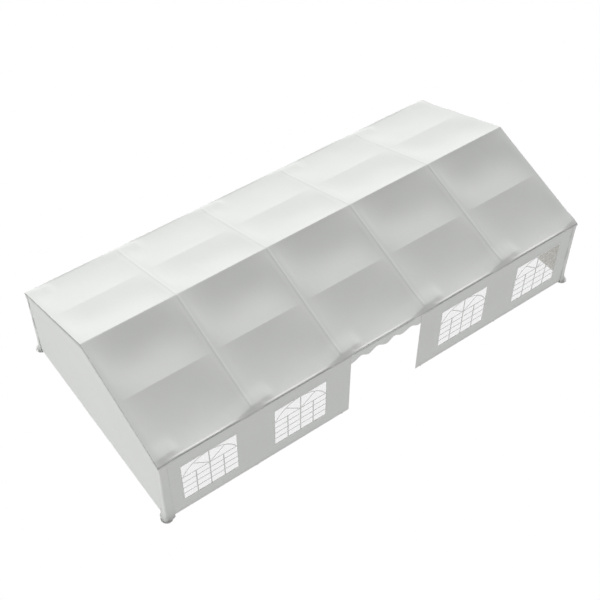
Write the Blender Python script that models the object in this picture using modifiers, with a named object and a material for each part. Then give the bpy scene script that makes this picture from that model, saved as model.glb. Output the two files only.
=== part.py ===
# Marquee tent, 6 by 12 metres: six arches of steel tube on twelve posts carry a white sheet roof
# cover, side walls with clear windows, two gable panels and fabric sleeves round the corner posts.
# X runs along the ridge, the long side with the open bay faces -Y, and the ground is z = 0.

from math import atan2, cos, pi, sin, tan

import bmesh
import bpy
import numpy as np
from mathutils import Matrix, Vector

# Driving dimensions, in metres
LENGTH = 12.0
WIDTH = 5.94
EAVE = 2.04
RIDGE = 3.10
BAYS = 5
FABRIC = 0.003
GAP = 0.0003

# Steel tube and fittings
TUBE_R = 0.019
BORE_R = 0.0178
FITTING_R = 0.023
FITTING_HALF = 0.05
SOCKET_FLOOR = 0.025
SOCKET_END = 0.11
PURLIN_AT = 0.487
SIDES = 16

# Base plates
CORNER_PLATE_R = 0.13
CORNER_PLATE_HEIGHT = 0.02
SMALL_PLATE_R = 0.029
SMALL_PLATE_HEIGHT = 0.008

# Walls, windows, doorway and valance
HEM = 0.024
DOOR_LEFT = -1.01
DOOR_RIGHT = 1.02
WINDOW_WIDTH = 1.40
WINDOW_BOTTOM = 0.40
WINDOW_TOP = 1.63
FILM = 0.002
FILM_LAP = 0.03
SCALLOP = 0.48
VALANCE_SHORT = 0.215
VALANCE_LONG = 0.325
SCALLOP_STEPS = 6

# Corner sleeves: width along X, width along Y
SLEEVES = {
    "front_left": (0.18, 0.18),
    "front_right": (0.11, 0.18),
    "back_left": (0.18, 0.10),
    "back_right": (0.18, 0.18),
}

# Roof cover: how deep it hangs between its tubes, and how low in each span the slack gathers
SPAN_SAG = 0.084
SLACK_POWER = 2.8
FLAT_OVER_ARCH = 0.09
CELLS_IN_SAG = 8
CELLS_PER_SPAN = 4

# Worked out from the driving dimensions
HALF_L = LENGTH / 2
HALF_W = WIDTH / 2
BAY = LENGTH / BAYS
PITCH = atan2(RIDGE - EAVE, HALF_W)
LAYER = FABRIC + GAP
POST_Y = HALF_W - 2 * LAYER - FITTING_R
END_X = HALF_L - LAYER - FITTING_R
AXIS_DEPTH = LAYER + FITTING_R
FRAME_X = [-END_X] + [-HALF_L + BAY * i for i in range(1, BAYS)] + [END_X]
WALL_TOP = EAVE - LAYER / cos(PITCH)
BEAM_HALF = HALF_L - LAYER


def axis_z(y):
    """Height of the rafter axes at a distance y from the ridge plane."""
    return RIDGE - abs(y) * tan(PITCH) - AXIS_DEPTH / cos(PITCH)


EAVE_Z = axis_z(POST_Y)
RIDGE_Z = axis_z(0)
SLEEVE_NOTCH = EAVE_Z - FITTING_R - 0.005
RAFTER_SPAN = POST_Y / cos(PITCH)
CREST_SHIFT = AXIS_DEPTH * sin(PITCH)
PURLIN_CREST = PURLIN_AT * HALF_W
EAVE_CREST = POST_Y + CREST_SHIFT
PURLIN_Y = PURLIN_CREST - CREST_SHIFT
PURLIN_Z = axis_z(PURLIN_Y)
BOW_PEAK = SLACK_POWER / (SLACK_POWER + 1) ** (1 + 1 / SLACK_POWER)


def clear_scene():
    for thing in list(bpy.data.objects):
        bpy.data.objects.remove(thing, do_unlink=True)


def new_collection(name):
    group = bpy.data.collections.new(name)
    bpy.context.scene.collection.children.link(group)
    return group


def new_material(name, colour, roughness, metallic=0.0, alpha=1.0):
    finish = bpy.data.materials.new(name)
    finish.use_nodes = True
    shader = finish.node_tree.nodes["Principled BSDF"]
    shader.inputs["Base Color"].default_value = (*colour, 1.0)
    shader.inputs["Roughness"].default_value = roughness
    shader.inputs["Metallic"].default_value = metallic
    shader.inputs["Alpha"].default_value = alpha
    return finish


clear_scene()
PARTS = new_collection("marquee_tent")
CUTTERS = new_collection("cutters")


def place(name, data, matrix, finish, group=PARTS):
    """Puts a mesh or curve into the model as one named object."""
    data.materials.clear()
    data.materials.append(finish)
    thing = bpy.data.objects.new(name, data)
    thing.matrix_world = matrix
    group.objects.link(thing)
    return thing


def turned(name, profile, matrix, finish):
    """A profile of radius and height turned about the local Z axis."""
    mesh = bpy.data.meshes.new(name)
    last = len(profile) - 1
    edges = [(i, i + 1) for i in range(last)]
    if profile[0][0] > 0:
        edges.append((last, 0))
    mesh.from_pydata([(r, 0, z) for r, z in profile], edges, [])
    thing = place(name, mesh, matrix, finish)
    screw = thing.modifiers.new("turn", "SCREW")
    screw.steps = SIDES
    screw.render_steps = SIDES
    screw.use_merge_vertices = True
    screw.merge_threshold = 0.00001
    screw.use_smooth_shade = True
    return thing


def tube(name, start, end, matrix, finish):
    """A round tube along local Z from start to end, open at both ends."""
    profile = [(TUBE_R, end), (TUBE_R, start), (BORE_R, start), (BORE_R, end)]
    return turned(name, profile, matrix, finish)


def cylinder(name, radius, start, end, matrix, finish, group):
    """A solid cylinder along local Z from start to end."""
    mesh = bpy.data.meshes.new(name)
    shape = bmesh.new()
    bmesh.ops.create_cone(shape, cap_ends=True, segments=SIDES, radius1=radius, radius2=radius,
                          depth=end - start, matrix=Matrix.Translation((0, 0, (start + end) / 2)))
    shape.to_mesh(mesh)
    shape.free()
    return place(name, mesh, matrix, finish, group)


def box(name, low, high, finish, group=PARTS):
    """A box between two corners."""
    low, high = Vector(low), Vector(high)
    mesh = bpy.data.meshes.new(name)
    shape = bmesh.new()
    bmesh.ops.create_cube(shape, size=1.0)
    bmesh.ops.scale(shape, vec=high - low, verts=shape.verts)
    bmesh.ops.translate(shape, vec=(low + high) / 2, verts=shape.verts)
    shape.to_mesh(mesh)
    shape.free()
    return place(name, mesh, Matrix.Identity(4), finish, group)


def hide_cutter(thing):
    thing.hide_render = True
    thing.display_type = "WIRE"


def combine(thing, operation, others):
    """Joins the other solids to a thing, or cuts them from it, and keeps them as hidden guides."""
    group = new_collection(f"{thing.name}_{operation.lower()}")
    for other in others:
        CUTTERS.objects.unlink(other)
        group.objects.link(other)
        hide_cutter(other)
    step = thing.modifiers.new(operation.lower(), "BOOLEAN")
    step.operation = operation
    step.solver = "EXACT"
    step.operand_type = "COLLECTION"
    step.collection = group


def flat_panel(name, outlines, thickness, matrix, finish):
    """A flat sheet with the first outline as its edge and the others as holes through it."""
    curve = bpy.data.curves.new(name, "CURVE")
    curve.dimensions = "2D"
    curve.fill_mode = "BOTH"
    curve.extrude = thickness / 2
    for outline in outlines:
        spline = curve.splines.new("POLY")
        spline.points.add(len(outline) - 1)
        for point, (u, v) in zip(spline.points, outline):
            point.co = (u, v, 0, 1)
        spline.use_cyclic_u = True
    return place(name, curve, matrix, finish)


def rectangle(left, right, bottom, top):
    return [(left, bottom), (right, bottom), (right, top), (left, top)]


def along_x(x, y, z):
    """Local Z turned to +X, for tubes that run along the ridge."""
    return Matrix.Translation((x, y, z)) @ Matrix.Rotation(pi / 2, 4, "Y")


def long_side(depth, side):
    """Local X and Y stand up in the plane of a long wall; depth is counted in from its outside."""
    return Matrix.Translation((0, side * (HALF_W - depth), 0)) @ Matrix.Rotation(pi / 2, 4, "X")


def gable_side(depth, side):
    """Local X and Y stand up in the plane of a gable; depth is counted in from its outside."""
    turn = Matrix.Rotation(pi / 2, 4, "Z") @ Matrix.Rotation(pi / 2, 4, "X")
    return Matrix.Translation((side * (HALF_L - depth), 0, 0)) @ turn


def up_slope(x, side):
    """Local Z runs from the eave axis up the slope to the ridge axis."""
    lean = side * (pi / 2 - PITCH)
    return Matrix.Translation((x, side * POST_Y, EAVE_Z)) @ Matrix.Rotation(lean, 4, "X")


def down_slope(x, side):
    """Local Z runs from the ridge axis down the slope to the eave axis."""
    lean = -side * (pi / 2 + PITCH)
    return Matrix.Translation((x, 0, RIDGE_Z)) @ Matrix.Rotation(lean, 4, "X")


def is_corner(x):
    return abs(x) == END_X


def post(name, x, side, finish):
    """A tube post with a round base plate; its top stands in the socket of the eave fitting."""
    plate_r = CORNER_PLATE_R if is_corner(x) else SMALL_PLATE_R
    plate_h = CORNER_PLATE_HEIGHT if is_corner(x) else SMALL_PLATE_HEIGHT
    top = EAVE_Z - SOCKET_FLOOR - GAP
    profile = [(0, plate_h), (BORE_R, plate_h), (BORE_R, top), (TUBE_R, top), (TUBE_R, plate_h),
               (plate_r, plate_h), (plate_r, 0), (0, 0)]
    return turned(name, profile, Matrix.Translation((x, side * POST_Y, 0)), finish)


def rafter(name, x, side, finish):
    """A tube from the eave socket to the ridge socket."""
    end = RAFTER_SPAN - SOCKET_FLOOR - GAP
    return tube(name, SOCKET_FLOOR + GAP, end, up_slope(x, side), finish)


def sleeve_span(x):
    """The ends of a fitting's sleeve along a beam; at the gables it stops inside the panel."""
    return max(x - FITTING_HALF, -BEAM_HALF), min(x + FITTING_HALF, BEAM_HALF)


def beam(name, y, z, sockets, finish):
    """A long tube with a fitting at each arch. Each socket is a function that places it at an x."""
    body = cylinder(name, TUBE_R, -BEAM_HALF, BEAM_HALF, along_x(0, y, z), finish, PARTS)
    joined, bored = [], []
    for number, x in enumerate(FRAME_X, 1):
        low, high = sleeve_span(x)
        joined.append(cylinder(f"{name}_sleeve_{number}", FITTING_R, low, high, along_x(0, y, z),
                               finish, CUTTERS))
        for letter, socket in zip("ab", sockets):
            joined.append(cylinder(f"{name}_socket_{number}{letter}", FITTING_R, 0, SOCKET_END,
                                   socket(x), finish, CUTTERS))
            bored.append(cylinder(f"{name}_bore_{number}{letter}", TUBE_R + GAP, SOCKET_FLOOR,
                                  SOCKET_END + FITTING_R, socket(x), finish, CUTTERS))
    bored.append(cylinder(f"{name}_bore", BORE_R, -HALF_L, HALF_L, along_x(0, y, z), finish,
                          CUTTERS))
    combine(body, "UNION", joined)
    combine(body, "DIFFERENCE", bored)
    return body


def eave_beam(name, side, finish):
    def down(x):
        return Matrix.Translation((x, side * POST_Y, EAVE_Z)) @ Matrix.Rotation(pi, 4, "X")

    def up(x):
        return up_slope(x, side)

    return beam(name, side * POST_Y, EAVE_Z, (down, up), finish)


def ridge_beam(name, finish):
    def to_front(x):
        return down_slope(x, -1)

    def to_back(x):
        return down_slope(x, 1)

    return beam(name, 0, RIDGE_Z, (to_front, to_back), finish)


def purlin(name, side, finish):
    """A tube at mid-slope, level with the rafters, which pass through its ring fittings."""
    axis = along_x(0, side * PURLIN_Y, PURLIN_Z)
    body = cylinder(name, TUBE_R, -END_X, END_X, axis, finish, PARTS)
    middle = RAFTER_SPAN - PURLIN_Y / cos(PITCH)
    low, high = middle - FITTING_HALF, middle + FITTING_HALF
    joined, bored = [], []
    for number, x in enumerate(FRAME_X, 1):
        joined.append(cylinder(f"{name}_ring_{number}", FITTING_R, low, high, up_slope(x, side),
                               finish, CUTTERS))
        bored.append(cylinder(f"{name}_ring_bore_{number}", TUBE_R + GAP, low - TUBE_R,
                              high + TUBE_R, up_slope(x, side), finish, CUTTERS))
    bored.append(cylinder(f"{name}_bore", BORE_R, -END_X, END_X, axis, finish, CUTTERS))
    combine(body, "UNION", joined)
    combine(body, "DIFFERENCE", bored)
    return body


def window_outlines(centres, grow=0.0):
    half = WINDOW_WIDTH / 2 + grow
    return [rectangle(c - half, c + half, WINDOW_BOTTOM - grow, WINDOW_TOP + grow) for c in centres]


def wall(name, left, right, centres, side, finish):
    """A long-side wall panel with its windows cut through."""
    outlines = [rectangle(left, right, HEM, WALL_TOP)] + window_outlines(centres)
    return flat_panel(name, outlines, FABRIC, long_side(FABRIC / 2, side), finish)


def window_film(name, centres, side, finish):
    """One sheet of clear film behind the windows of a wall."""
    laps = window_outlines((centres[0], centres[-1]), FILM_LAP)
    (left, bottom), (right, top) = laps[0][0], laps[-1][2]
    return flat_panel(name, [rectangle(left, right, bottom, top)], FILM,
                      long_side(LAYER + FILM / 2, side), finish)


def valance(name, left, right, side, finish):
    """A hanging strip whose lower edge is a row of shallow scallops."""
    count = round(LENGTH / SCALLOP)
    xs = np.linspace(-HALF_L, HALF_L, count * SCALLOP_STEPS + 1)
    xs = np.concatenate(([left], xs[(xs > left) & (xs < right)], [right]))
    swing = (1 - np.cos(2 * pi * (xs + HALF_L) / SCALLOP)) / 2
    zs = EAVE - VALANCE_SHORT - (VALANCE_LONG - VALANCE_SHORT) * swing
    outline = [(float(x), float(z)) for x, z in zip(xs, zs)]
    outline += [(right, WALL_TOP), (left, WALL_TOP)]
    return flat_panel(name, [outline], FABRIC, long_side(LAYER + FABRIC / 2, side), finish)


def gable(name, front_edge, back_edge, side, finish):
    """A plain gable panel: it fills the end under the roof, between and above the sleeves."""
    shoulder = WALL_TOP + GAP
    tip = HALF_W - GAP / tan(PITCH)
    apex = RIDGE - LAYER / cos(PITCH)
    outline = [(front_edge, HEM), (back_edge, HEM), (back_edge, shoulder), (tip, shoulder),
               (0, apex), (-tip, shoulder), (front_edge, shoulder)]
    return flat_panel(name, [outline], FABRIC, gable_side(FABRIC / 2, side), finish)


def corner_sleeve(name, corner_x, corner_y, widths, finish):
    """A square fabric tube round a corner post; near the beam only its two outer faces rise."""
    width_x, width_y = widths
    low_z = CORNER_PLATE_HEIGHT + GAP
    inner_x = corner_x * (HALF_L - width_x)
    inner_y = corner_y * (HALF_W - width_y)

    def span(outer, inner, inset):
        """The lower and upper ends of the sleeve across one axis, moved in by an inset."""
        ends = sorted((outer, inner))
        return ends[0] + inset, ends[1] - inset

    outer_x, outer_y = corner_x * HALF_L, corner_y * HALF_W
    x0, x1 = span(outer_x, inner_x, 0)
    y0, y1 = span(outer_y, inner_y, 0)
    body = box(name, (x0, y0, low_z), (x1, y1, WALL_TOP), finish)
    x0, x1 = span(outer_x, inner_x, FABRIC)
    y0, y1 = span(outer_y, inner_y, FABRIC)
    hollow = box(f"{name}_hollow", (x0, y0, 0), (x1, y1, EAVE + HEM), finish, CUTTERS)
    reach_x, reach_y = inner_x - corner_x * HEM, inner_y - corner_y * HEM
    x0, x1 = sorted((outer_x - corner_x * FABRIC, reach_x))
    y0, y1 = sorted((outer_y - corner_y * FABRIC, reach_y))
    notch = box(f"{name}_notch", (x0, y0, SLEEVE_NOTCH), (x1, y1, EAVE + HEM), finish, CUTTERS)
    combine(body, "DIFFERENCE", [hollow, notch])
    return body


def sag(x, y):
    """Depth of the cover below the flat slope at a distance y from the ridge plane.

    The cover lies flat over each arch. Between two arches it hangs from the ridge to the purlin
    and from the purlin to the eave, and the slack gathers in the lower part of each span:
    the depth goes with d - d^(n + 1), where d is the share of the span and n the slack power.
    """
    across = ((x + HALF_L) % BAY - FLAT_OVER_ARCH) / (BAY - 2 * FLAT_OVER_ARCH)
    between = 1 - abs(2 * min(max(across, 0), 1) - 1) ** 3
    high, low = (0, PURLIN_CREST) if y < PURLIN_CREST else (PURLIN_CREST, EAVE_CREST)
    down = min((y - high) / (low - high), 1)
    return SPAN_SAG * between * (down - down ** (SLACK_POWER + 1)) / BOW_PEAK


def cover_columns():
    """The places along the ridge where the cover bends: closer together over each arch."""
    in_bay = np.linspace(FLAT_OVER_ARCH, BAY - FLAT_OVER_ARCH, CELLS_IN_SAG + 1)
    starts = -HALF_L + BAY * np.arange(BAYS)
    inside = starts[:, None] + np.concatenate(([0], in_bay))
    return np.append(inside.ravel(), HALF_L)


def cover_rows():
    """The places across the cover where it bends, from the front edge to the back edge."""
    upper = np.linspace(0, PURLIN_CREST, CELLS_PER_SPAN + 1)
    lower = np.linspace(PURLIN_CREST, EAVE_CREST, CELLS_PER_SPAN + 1)
    half = np.concatenate((upper, lower[1:], [HALF_W]))
    return np.concatenate((-half[:0:-1], half))


def roof_cover(name, finish):
    """The whole cover as one sagging sheet over both slopes."""
    columns, rows = cover_columns(), cover_rows()
    last_x, last_y = len(columns) - 1, len(rows) - 1
    shape = bmesh.new()
    bmesh.ops.create_grid(shape, x_segments=last_x, y_segments=last_y, size=0.5)
    for corner in shape.verts:
        x = float(columns[round((corner.co.x + 0.5) * last_x)])
        y = float(rows[round((corner.co.y + 0.5) * last_y)])
        corner.co = (x, y, RIDGE - abs(y) * tan(PITCH) - sag(x, abs(y)))
    mesh = bpy.data.meshes.new(name)
    shape.to_mesh(mesh)
    shape.free()
    cover = place(name, mesh, Matrix.Identity(4), finish)
    skin = cover.modifiers.new("thickness", "SOLIDIFY")
    skin.thickness = FABRIC
    skin.offset = -1
    skin.use_even_offset = True
    return cover


def build():
    steel = new_material("galvanised_steel", (0.58, 0.59, 0.60), 0.38, 0.9)
    sheet = new_material("white_sheet_fabric", (0.86, 0.87, 0.86), 0.5)
    clear = new_material("clear_film", (0.90, 0.92, 0.92), 0.12, alpha=0.35)
    sides = {"front": -1, "back": 1}
    ends = {"left": -1, "right": 1}
    for place_name, side in sides.items():
        for number, x in enumerate(FRAME_X, 1):
            post(f"post_{place_name}_{number}", x, side, steel)
            rafter(f"rafter_{place_name}_{number}", x, side, steel)
        eave_beam(f"eave_beam_{place_name}", side, steel)
        purlin(f"purlin_{place_name}", side, steel)
    ridge_beam("ridge_beam", steel)
    roof_cover("roof_cover", sheet)
    for place_name, side in sides.items():
        left = -HALF_L + SLEEVES[f"{place_name}_left"][0] + GAP
        right = HALF_L - SLEEVES[f"{place_name}_right"][0] - GAP
        valance(f"valance_{place_name}", left, right, side, sheet)
        bays = [-HALF_L + BAY * (i + 0.5) for i in range(BAYS)]
        if place_name == "front":
            wall("wall_front_left", left, DOOR_LEFT, bays[:2], side, sheet)
            wall("wall_front_right", DOOR_RIGHT, right, bays[3:], side, sheet)
            window_film("window_film_front_left", bays[:2], side, clear)
            window_film("window_film_front_right", bays[3:], side, clear)
        else:
            wall("wall_back", left, right, bays, side, sheet)
            window_film("window_film_back", bays, side, clear)
    for end_name, end in ends.items():
        front = -HALF_W + SLEEVES[f"front_{end_name}"][1] + GAP
        back = HALF_W - SLEEVES[f"back_{end_name}"][1] - GAP
        gable(f"gable_{end_name}", front, back, end, sheet)
        for place_name, side in sides.items():
            corner = f"{place_name}_{end_name}"
            corner_sleeve(f"sleeve_{corner}", end, side, SLEEVES[corner], sheet)


build()
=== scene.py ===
from math import atan2, cos, pi, radians, sin, tan

import bmesh
import bpy
import numpy as np
from bpy.props import FloatProperty, FloatVectorProperty, PointerProperty
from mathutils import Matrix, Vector


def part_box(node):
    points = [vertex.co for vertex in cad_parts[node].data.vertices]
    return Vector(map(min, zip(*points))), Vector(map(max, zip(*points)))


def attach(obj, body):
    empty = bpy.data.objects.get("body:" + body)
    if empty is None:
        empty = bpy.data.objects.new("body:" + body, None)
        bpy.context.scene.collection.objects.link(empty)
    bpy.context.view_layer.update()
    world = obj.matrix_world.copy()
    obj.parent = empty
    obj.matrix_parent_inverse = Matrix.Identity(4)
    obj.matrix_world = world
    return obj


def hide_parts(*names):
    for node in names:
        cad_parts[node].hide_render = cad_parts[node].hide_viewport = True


bl_info = {
    "name": "Marquee Tent",
    "version": (1, 0, 0),
    "blender": (4, 5, 0),
    "location": "View3D > Sidebar > Marquee",
    "description": "Builds the fabric, windows, frame finish and stage of a party marquee",
    "category": "Add Mesh",
}

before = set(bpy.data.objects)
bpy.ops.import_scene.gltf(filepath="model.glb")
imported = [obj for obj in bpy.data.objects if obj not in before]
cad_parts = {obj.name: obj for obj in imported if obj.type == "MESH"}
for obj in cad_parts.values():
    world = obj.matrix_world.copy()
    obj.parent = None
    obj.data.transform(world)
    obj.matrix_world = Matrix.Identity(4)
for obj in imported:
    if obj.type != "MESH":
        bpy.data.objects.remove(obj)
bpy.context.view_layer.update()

BODY = "root"

# The finishes of each slot's new pieces, outer side first
SLOT_FINISHES = {
    # The inner side of every sheet takes a darker, warmer tone: painted shade for the dim inside of the
    # tent
    "roof_sheet": ("coated_roof_sheet", "sheet_lining"),
    "wall_sheet": ("coated_wall_sheet", "sheet_lining"),
    "window_film": ("clear_window_film",),
    "frame_steel": ("moulded_foot",),
}


def centre_of(node):
    low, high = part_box(node)
    return (low + high) / 2


# Main sizes, read from the frame, in metres
ROOF_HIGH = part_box("roof_cover")[1]
HALF_L = ROOF_HIGH.x
HALF_W = ROOF_HIGH.y
RIDGE = ROOF_HIGH.z
EAVE = 2.04
PITCH = atan2(RIDGE - EAVE, HALF_W)
ARCH_X = [centre_of(f"post_front_{number}").x for number in range(1, 7)]
POST_Y = centre_of("post_back_1").y
BAY_EDGES = np.array([-HALF_L, *ARCH_X[1:-1], HALF_L])
BAY_CENTRES = (BAY_EDGES[1:] + BAY_EDGES[:-1]) / 2
PURLIN_SHARE = 0.487
PURLIN_CREST = PURLIN_SHARE * HALF_W
HEM_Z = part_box("gable_left")[0].z
DOOR_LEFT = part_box("wall_front_left")[1].x
DOOR_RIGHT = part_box("wall_front_right")[0].x
FILM_LAP = 0.03
WINDOW_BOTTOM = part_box("window_film_front_left")[0].z + FILM_LAP
WINDOW_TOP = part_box("window_film_front_left")[1].z - FILM_LAP
WINDOW_WIDTH = 1.40

# Bars of a window: level ones at shares of its height, and spokes to a share of its width
LEVEL_BARS = (0.16, 0.325, 0.49, 0.65)
SPOKE_REACH = 0.285
BAR_LAP = 0.012
ARCH_INSET = 0.012
BAR_OUT = {"upright": 0.0022, "level": 0.0016, "spoke": 0.0013, "arch": 0.0010}

# Thickness of cloth and film, height of a hem or border, widths of hems and of the step beside
# them, and a margin for comparing places
SHEET, FILM = 0.0012, 0.0006
BAND = 0.0009
SIDE_HEM, FOOT_HEM, STEP = 0.032, 0.034, 0.004
HAIR = 0.001

# Distances from the middle plane to the outside of each layer at the long sides and the gables
GATHERED_OUT = HALF_W + 0.002
CORNER_OUT = HALF_W + 0.014
WALL_OUT = HALF_W
VALANCE_OUT = HALF_W - 0.005
FILM_OUT = HALF_W - 0.0038
GABLE_OUT = HALF_L - 0.0015

# Verges, the rolled edges along the gables, with the depth to the panels, their spread near the
# eave and the share of a turn that their depth takes up
VERGE_R = 0.010
VERGE_OUT = HALF_L + 0.004
VERGE_TUCK = HALF_L - 0.0065
VERGE_GROOVE = 0.033
VERGE_SPREAD = 0.012
SPREAD_DOWN = (HALF_W - 0.45, HALF_W - 0.12)
SPREAD_ACROSS = (HALF_L - 0.06, HALF_L - 0.007)
TURN_SHARE, VERGE_DEPTH = 0.6, 0.058

# Slopes: the powers are those by which both sags fade to a rafter, the lift over the ridge tube
# climbs from left to right, and the rows draw close near the eave
FLAT_OVER_ARCH = 0.09
FADE_POWERS = (3, 2.6)
RIDGE_EASE, BEAD_EASE = 0.012, 0.0012
RIDGE_LIFT = (0.002, 0.012)
RIDGE_CLIMB = (-4.5, 0.5)
RIDGE_FADE = 0.07
CLOSE_ROWS = HALF_W - 0.42

# Seams: how far left of a rafter, and the lengths of the rise at the ridge and the end at a fold
SEAM_SHIFT, SEAM_START, SEAM_END = 0.012, 0.05, 0.03

# Eave: the distances before and after an arch over which the sheet gathers and humps, the zones
# at corners and verges, and the fold with the change of its width to each side of an arch
GATHERED = ((0.29, 0.43), (0.17, 0.32))
HUMPED = ((0.58, 0.86), (0.42, 0.66))
CORNER_ZONE = (HALF_L - 0.45, HALF_L - 0.16)
VERGE_ZONE = (HALF_L - 0.18, HALF_L)
LOWER_HUMP = 0.6
ARCH_TILT = 0.25
FOLD = 0.110
FOLD_BEFORE, FOLD_AFTER = 0.16, 0.08
FOLD_LEAST, FOLD_RISE = 0.03, 0.42

# Each pair is for the eave along a bay and where it is gathered: its lift off the slope, how
# far before the turn the lift starts and stops, the angle at which the turn ends, and the wall's
# top above that
EAVE_LIFT = (0.011, 0.001)
LIFT_START, LIFT_STOP = (0.045, 0.35), (0.006, 0)
TURN_END = (-50, -4)
WALL_RISE = (0.0115, -0.0135)

# Valances: half their length, the groove behind the eave and the flutter in the doorway, and
# the rows past the slope over which the sheet narrows to them
VALANCE_REACH = 5.81
GROOVE_BACK = 0.0015
GROOVE = np.array([0.003, 0.0048, 0.010])
FLUTTER, FLUTTER_BACK = (0.006, 0.003), 0.004
DOOR_EASE = 0.1
TURN_ROWS = 10
NARROWING = (8, 13)

# Panels: where their waves grow calm, the inward bend of a wall's top, the rounded peak of a
# gable, where the upper rows start, and the largest cells
CALM_SIDE, CALM_END = 0.25, 0.3
CALM_TOP = (1.75, 1.9)
TOP_BEND, BEND_HEIGHT = 0.0025, 0.02
PEAK_EASE = 0.02
WALL_UPPER, GABLE_UPPER = 1.88, 1.2
WALL_CELL = (0.075, 0.09)
GABLE_CELL = 0.1

# Sleeves: the flare at the foot, less on the loose edges, the wider top, the swell to the
# gable, the lap behind the eave, and where and how far the loose edges of each stand off
SLEEVE_FOOT = 0.0232
FLARE, FLARE_FADE, LOOSE_LOSS = 0.068, 0.085, 0.3
TOP_FLARE, WIDER_TOP = 0.006, (1.74, 1.92)
SWELL, SWELL_FADE = 0.016, (0.3, 1.7)
INNER_TOP = 1.90
EAVE_LAP = 0.02
FIRST_GAPE, GAPE_APART, GAPE_END = 0.32, 0.745, (1.7, 1.9)
GAPES = {"front_left": 0.001, "front_right": 0.013, "back_left": 0.016, "back_right": 0.006}

# Covers of the corner feet: their section as radius and height, and how far they lie in
FOOT_PROFILE = ((0.038, 0.0203), (0.038, 0.0222), (0.130, 0.0222), (0.1385, 0.0208),
                (0.1425, 0.0165), (0.1440, 0.0100), (0.1440, 0.0004), (0.1413, 0.0004),
                (0.1413, 0.0203))
FOOT_INSET = 0.010

# Camera and light, fitted to the view from above the left front corner
CAMERA_AT = (-10.95, -14.68, 21.365)
CAMERA_YAW = radians(36.07)
CAMERA_DIP = radians(48.74)
CAMERA_LENS = 66.83
TO_SUN = (0.390, 0.640, 0.662)
TO_FRONT = (-0.15, -0.89, 0.43)
SUN_SPREAD = radians(12)
FILL_AT = (-30, 0, 0.85)
FILL_SIZE = (1.6, 12.0)
FLOOR_REACH = 600.0


# Settings

def number(name, description, default, least=0.0, **options):
    return FloatProperty(name=name, description=description, default=default, min=least, **options)


def metres(name, description, default, least=0.0):
    return number(name, description, default, least, unit="LENGTH")


def fraction(name, description, default, least=0.0, most=1.0):
    return number(name, description, default, least, max=most, subtype="FACTOR")


def colour_of(name, description, default):
    return FloatVectorProperty(name=name, description=description, default=default, size=3,
                               min=0, max=1, subtype="COLOR")


class CoverSettings(bpy.types.PropertyGroup):
    upper_sag: metres("Upper sag", "Depth of the sheet between the ridge and the purlin", 0.089)
    lower_sag: metres("Lower sag", "Depth of the sheet between the purlin and the eave", 0.070)
    fold_start: fraction(
        "Fold start", "Share of the upper span before the sheet starts to turn", 0.175, 0.01, 0.45)
    lower_slack: number(
        "Lower slack", "Power that gathers the slack low in the lower spans", 1.75, 1)
    seam_height: metres("Seam height", "How far a seam stands up over its rafter", 0.0075)
    seam_flank: metres("Seam flank", "Width of the steep left side of a seam", 0.009, 0.001)
    seam_tail: metres("Seam tail", "Width of the gentle right side of a seam", 0.034, 0.001)
    bead_radius: metres("Bead radius", "Radius of the sheet over the eave tube", 0.0215, 0.005)
    gathered_radius: metres("Gathered radius", "Radius of the gathered eave beside an arch", 0.020, 0.005)
    corner_radius: metres(
        "Corner radius", "Radius of the eave where it turns down at a corner", 0.06, 0.005)
    hump: metres("Hump", "Rise of the sheet over the fittings where an arch meets the eave", 0.033)
    scallop: metres("Scallop", "Width of one scallop of the valance", 0.48, 0.05)
    valance_short: metres("Short drop", "Drop of the valance between two scallops", 0.215, 0.02)
    valance_long: metres("Long drop", "Drop of the valance at the middle of a scallop", 0.325, 0.02)


class WindowSettings(bpy.types.PropertyGroup):
    upright: metres("Upright width", "Width of the upright bars", 0.031, 0.002)
    crossbar: metres("Crossbar width", "Width of the level bars, the arch and its spokes", 0.023, 0.002)
    springing: fraction("Springing", "Height of the arch's foot as a share of the window", 0.65, 0.1, 0.9)
    arch_rise: metres("Arch rise", "Height of the arch above its foot", 0.43, 0.05)


class FinishSettings(bpy.types.PropertyGroup):
    sheet_colour: colour_of("Roof sheet", "Colour of the coated roof sheet", (0.838, 0.854, 0.831))
    wall_colour: colour_of("Wall sheet", "Colour of the coated wall sheet", (0.786, 0.802, 0.779))
    # Painted shade: the inner side of every sheet is toned darker and warmer to stand for the shade
    # inside the tent
    lining_shade_colour: colour_of("Lining", "Colour of the inner side of every sheet", (0.64, 0.62, 0.57))
    film_colour: colour_of("Film", "Colour of the clear window film", (0.86, 0.87, 0.87))
    film_haze: fraction("Film haze", "How much of the film is not see-through", 0.17)
    steel_colour: colour_of("Steel", "Colour of the galvanised tube", (0.56, 0.57, 0.58))
    foot_colour: colour_of("Foot", "Colour of the corner feet", (0.78, 0.79, 0.78))


class StageSettings(bpy.types.PropertyGroup):
    sun: number("Key light", "Strength of the soft key light", 2.93)
    sky: number("Sky", "Brightness of the light from all round above", 0.152)
    front: number("Front light", "Strength of the soft light on the long side", 0.262)
    floor: number("Floor", "Brightness of the light that the white floor throws back", 0.90)
    fill: number("Side fill", "Power of the low soft light on the left gable", 2900, unit="POWER")


# Surfaces as arrays

def share_of(value, start, end):
    return np.clip((value - start) / (end - start), 0, 1)


def smooth_rise(value, start, end):
    """Rises from 0 at start to 1 at end with level ends: 3 t squared minus 2 t cubed."""
    share = share_of(value, start, end)
    return share * share * (3 - 2 * share)


def soft_max(first, second, ease):
    """The larger of two heights, with the corner between them rounded over about the ease:
    the ease times the logarithm of the sum of both exponentials."""
    top = np.maximum(first, second)
    return top + ease * np.log1p(np.exp(-np.abs(first - second) / ease))


def mix(first, second, share):
    return first + (second - first) * share


def inside(value, low, high, ease):
    """0 at both ends and 1 between them, from the ease inside each."""
    return smooth_rise(value, low, low + ease) * (1 - smooth_rise(value, high - ease, high))


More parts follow.
